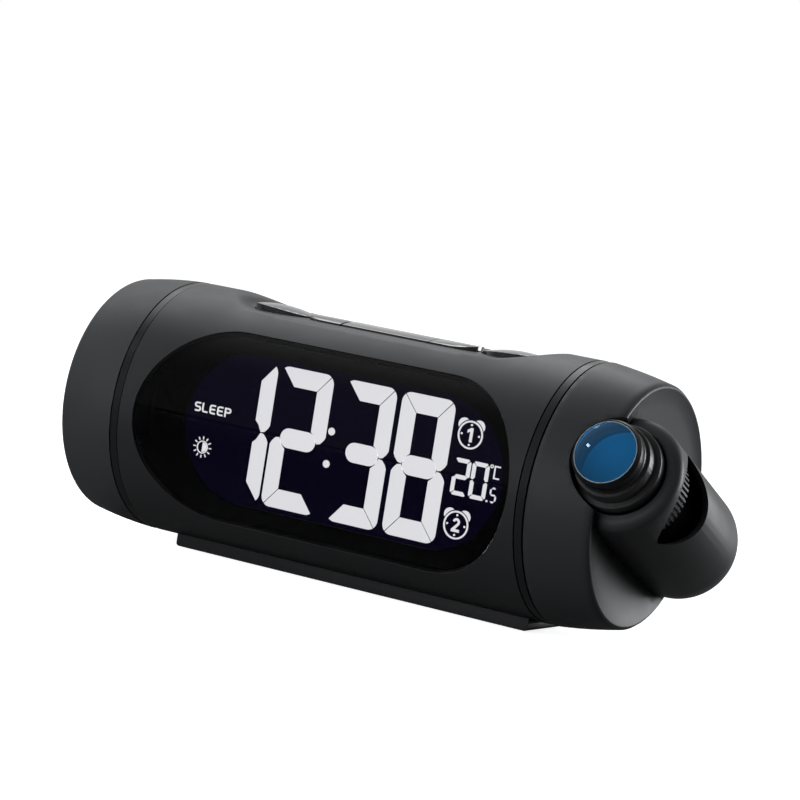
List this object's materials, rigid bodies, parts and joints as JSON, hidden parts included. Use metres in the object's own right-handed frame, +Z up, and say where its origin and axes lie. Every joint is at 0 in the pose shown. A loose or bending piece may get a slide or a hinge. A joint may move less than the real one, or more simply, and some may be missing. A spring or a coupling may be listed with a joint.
{
  "type": "projection alarm clock",
  "caption": "Barrel-shaped alarm clock with a curved display window, top keys, a foot, and a swivelling projector end with a focus wheel.",
  "frame": {"origin": "on the table plane under the middle of the barrel, at the middle of the rubber strip's width", "axes": "+X along the barrel to the projector end, -Y to the display, +Z up"},
  "size_m": [0.2064, 0.0825, 0.0828],
  "materials": {
    "body_plastic": "fine satin texture",
    "rear_plastic": "fine satin texture",
    "cap_plastic": "fine satin texture",
    "projector_plastic": "fine satin texture",
    "window_acrylic": "smoked, gloss",
    "bezel_black": "printed black",
    "lcd_glass": "negative display, very dark blue",
    "lit_segments": "lit white",
    "light_acrylic": "clear, polished",
    "circuit_board": "solder mask",
    "inner_plastic": "as moulded",
    "nylon": "as moulded",
    "screw_steel": "zinc plated",
    "tin_plate": "tinned",
    "capacitor_sleeve": "shrink sleeve",
    "switch_plastic": "as moulded",
    "key_plastic": "gloss",
    "ring_gloss": "gloss black",
    "speaker_steel": "black, baked",
    "cone_paper": "pressed, black",
    "ferrite": "ground",
    "acetal": "natural",
    "spring_steel": "hardened",
    "led_resin": "clear tinted resin",
    "lens_glass": "polished",
    "coated_lens": "polished, blue-green coating",
    "image_glass": "polished",
    "wheel_plastic": "ribbed",
    "barrel_plastic": "satin",
    "bezel_gloss": "gloss black",
    "foot_plastic": "as moulded",
    "grip_rubber": "matt",
    "jack_plastic": "as moulded",
    "cell_steel": "nickel plated"
  },
  "bodies": {
    "clock": {"front_shell": "body_plastic", "rear_cover": "rear_plastic", "front_window": "window_acrylic", "display_bezel": "bezel_black", "display_digits": "lit_segments", "display_panel": "lcd_glass", "light_guide": "light_acrylic", "display_board": "circuit_board", "display_frame": "inner_plastic", "main_board": "circuit_board", "board_spacers": "nylon", "board_screws": "screw_steel", "tuner_can": "tin_plate", "capacitors": "capacitor_sleeve", "button_board": "circuit_board", "button_switches": "switch_plastic", "left_trim_ring": "ring_gloss", "right_trim_ring": "ring_gloss", "left_end_cap": "cap_plastic", "left_bulkhead": "inner_plastic", "speaker_frame": "speaker_steel", "speaker_cone": "cone_paper", "speaker_magnet": "ferrite", "speaker_screws": "screw_steel", "bulkhead_screws": "screw_steel", "bearing_plate": "inner_plastic", "swivel_bush": "acetal", "base_foot": "foot_plastic", "grip_strip": "grip_rubber", "foot_screws": "screw_steel", "cover_screws": "screw_steel", "cell_holder": "inner_plastic", "backup_cell": "cell_steel", "dc_jack": "jack_plastic", "antenna_gland": "jack_plastic"},
    "projector": {"swivel_plate": "inner_plastic", "spring_washer": "spring_steel", "retaining_clip": "spring_steel", "projector_cap": "projector_plastic", "cap_screws": "screw_steel", "head_shell": "projector_plastic", "head_screws": "screw_steel", "optics_tube": "inner_plastic", "led_board": "circuit_board", "projector_led": "led_resin", "condenser_lens": "lens_glass", "image_lcd": "image_glass"},
    "focus": {"focus_wheel": "wheel_plastic"},
    "lens": {"lens_barrel": "barrel_plastic", "lens_bezel": "bezel_gloss", "front_lens": "coated_lens", "rear_lens": "lens_glass"},
    "snooze": {"snooze_bar": "key_plastic"},
    "bar_left": {"bar_key_left": "key_plastic"},
    "bar_right": {"bar_key_right": "key_plastic"},
    "oval_left": {"oval_key_left": "key_plastic"},
    "oval_right": {"oval_key_right": "key_plastic"},
    "door": {"battery_door": "rear_plastic"}
  },
  "joints": [
    {"name": "projector_swivel", "type": "hinge", "parent": "clock", "child": "projector", "pos_m": [0, 0, 0.0428], "axis": [1, 0, 0], "range_deg": [-155, 24.5]},
    {"name": "focus_turn", "type": "hinge", "parent": "projector", "child": "focus", "pos_m": [0.0947, 0, 0.0428], "axis": [0, -0.91, 0.4147], "range_deg": [-60, 60]},
    {"name": "focus_slide", "type": "slide", "parent": "projector", "child": "lens", "axis": [0, -0.91, 0.4147], "range_m": [-0.001, 0.001]},
    {"name": "snooze_press", "type": "slide", "parent": "clock", "child": "snooze", "axis": [0, 0, -1], "range_m": [0, 0.0008], "stiffness_N_per_m": 400, "springref_m": -0.001},
    {"name": "bar_left_press", "type": "slide", "parent": "clock", "child": "bar_left", "axis": [0, 0, -1], "range_m": [0, 0.0008], "stiffness_N_per_m": 400, "springref_m": -0.001},
    {"name": "bar_right_press", "type": "slide", "parent": "clock", "child": "bar_right", "axis": [0, 0, -1], "range_m": [0, 0.0008], "stiffness_N_per_m": 400, "springref_m": -0.001},
    {"name": "oval_left_press", "type": "slide", "parent": "clock", "child": "oval_left", "axis": [0, 0, -1], "range_m": [0, 0.0008], "stiffness_N_per_m": 400, "springref_m": -0.001},
    {"name": "oval_right_press", "type": "slide", "parent": "clock", "child": "oval_right", "axis": [0, 0, -1], "range_m": [0, 0.0008], "stiffness_N_per_m": 400, "springref_m": -0.001},
    {"name": "battery_door_slide", "type": "slide", "parent": "clock", "child": "door", "axis": [-1, 0, 0], "range_m": [0, 0.014]}
  ],
  "couplings": [
    {"joint": "focus_turn", "follows": "focus_slide", "rad_per_m": 1047}
  ]
}
